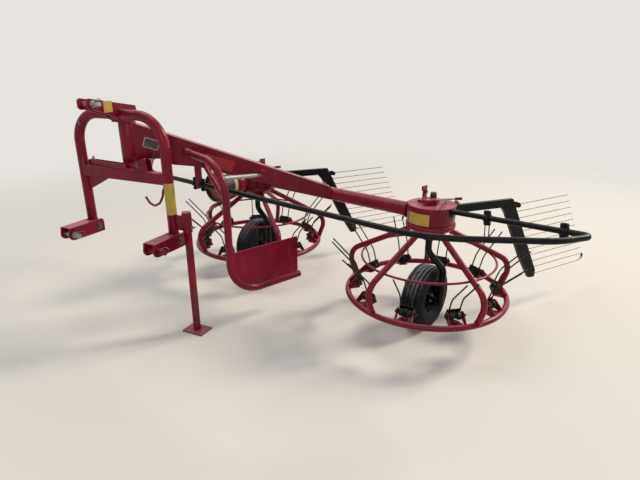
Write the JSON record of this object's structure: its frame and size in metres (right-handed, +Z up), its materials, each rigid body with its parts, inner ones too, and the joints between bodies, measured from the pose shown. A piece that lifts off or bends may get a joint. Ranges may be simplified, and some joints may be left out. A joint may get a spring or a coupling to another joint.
{
  "type": "twin rotor hay rake",
  "caption": "Mounted hay rake and tedder with an offset headstock, a tapered boom, tined basket rotors over carrying wheels, swath gates and a front guard tube.",
  "frame": {"origin": "on the ground, under the middle of the machine's outline", "axes": "+X to the machine's left along the line of the two rotor axes, +Y to its rear, +Z up"},
  "size_m": [3.3536, 2.6848, 1.434],
  "materials": {
    "red": "gloss enamel, sun-faded",
    "black_paint": "satin black paint, worn",
    "black_plastic": "moulded",
    "spring_steel": "black oxide spring wire",
    "zinc": "galvanised",
    "rubber": "dusty rubber",
    "rim_paint": "enamel"
  },
  "bodies": {
    "chassis": {"boom": "red", "cross_tube": "red", "drum_left": "red", "drum_right": "red", "lever_post_left": "red", "lever_post_right": "red", "wheel_leg_left": "black_paint", "wheel_leg_right": "black_paint", "input_shaft": "zinc", "input_guard": "black_plastic", "front_guard_left": "black_paint", "front_guard_right": "black_paint", "guard_hanger": "red", "deflector_hoop": "red", "deflector_plate": "red", "hoop_stay": "zinc"},
    "headstock": {"headstock_arch": "red", "kingpin": "zinc", "top_link_plates": "red", "top_link_pin": "zinc", "lower_foot_left": "red", "lower_foot_right": "red", "lower_pin_left": "red", "lower_pin_right": "zinc", "stand_sleeve": "red"},
    "stand": {"parking_stand": "red"},
    "rotor_left": {"rotor_left": "red", "tine_holders_left": "black_plastic", "tines_left": "spring_steel"},
    "rotor_right": {"rotor_right": "red", "tine_holders_right": "black_plastic", "tines_right": "spring_steel"},
    "wheel_left": {"tyre_left": "rubber", "rim_left": "rim_paint"},
    "wheel_right": {"tyre_right": "rubber", "rim_right": "rim_paint"},
    "gate_left": {"gate_arm_left": "black_paint", "gate_rods_left": "zinc"},
    "gate_right": {"gate_arm_right": "black_paint", "gate_rods_right": "zinc"}
  },
  "joints": [
    {"name": "headstock_swivel", "type": "hinge", "parent": "chassis", "child": "headstock", "pos_m": [-0.752, -0.97515, 1.1], "axis": [0, 0, 1], "range_deg": [-34, 5]},
    {"name": "stand_slide", "type": "slide", "parent": "headstock", "child": "stand", "axis": [0, 0, 1], "range_m": [0, 0.13]},
    {"name": "rotor_left_spin", "type": "hinge", "parent": "chassis", "child": "rotor_left", "pos_m": [0.765, 0.06986, 0.65], "axis": [0, 0, 1], "continuous": true},
    {"name": "rotor_right_spin", "type": "hinge", "parent": "chassis", "child": "rotor_right", "pos_m": [-0.765, 0.06986, 0.65], "axis": [0, 0, 1], "continuous": true},
    {"name": "wheel_left_spin", "type": "hinge", "parent": "chassis", "child": "wheel_left", "pos_m": [0.765, 0.06986, 0.205], "axis": [1, 0, 0], "continuous": true},
    {"name": "wheel_right_spin", "type": "hinge", "parent": "chassis", "child": "wheel_right", "pos_m": [-0.765, 0.06986, 0.205], "axis": [1, 0, 0], "continuous": true},
    {"name": "gate_left_swing", "type": "hinge", "parent": "chassis", "child": "gate_left", "pos_m": [0.85175, 0.22011, 0.77], "axis": [0, 0, 1], "range_deg": [-20, 25]},
    {"name": "gate_right_swing", "type": "hinge", "parent": "chassis", "child": "gate_right", "pos_m": [-0.67825, 0.22011, 0.77], "axis": [0, 0, 1], "range_deg": [-20, 25]}
  ],
  "couplings": [
    {"joint": "rotor_right_spin", "follows": "rotor_left_spin", "ratio": -1}
  ]
}
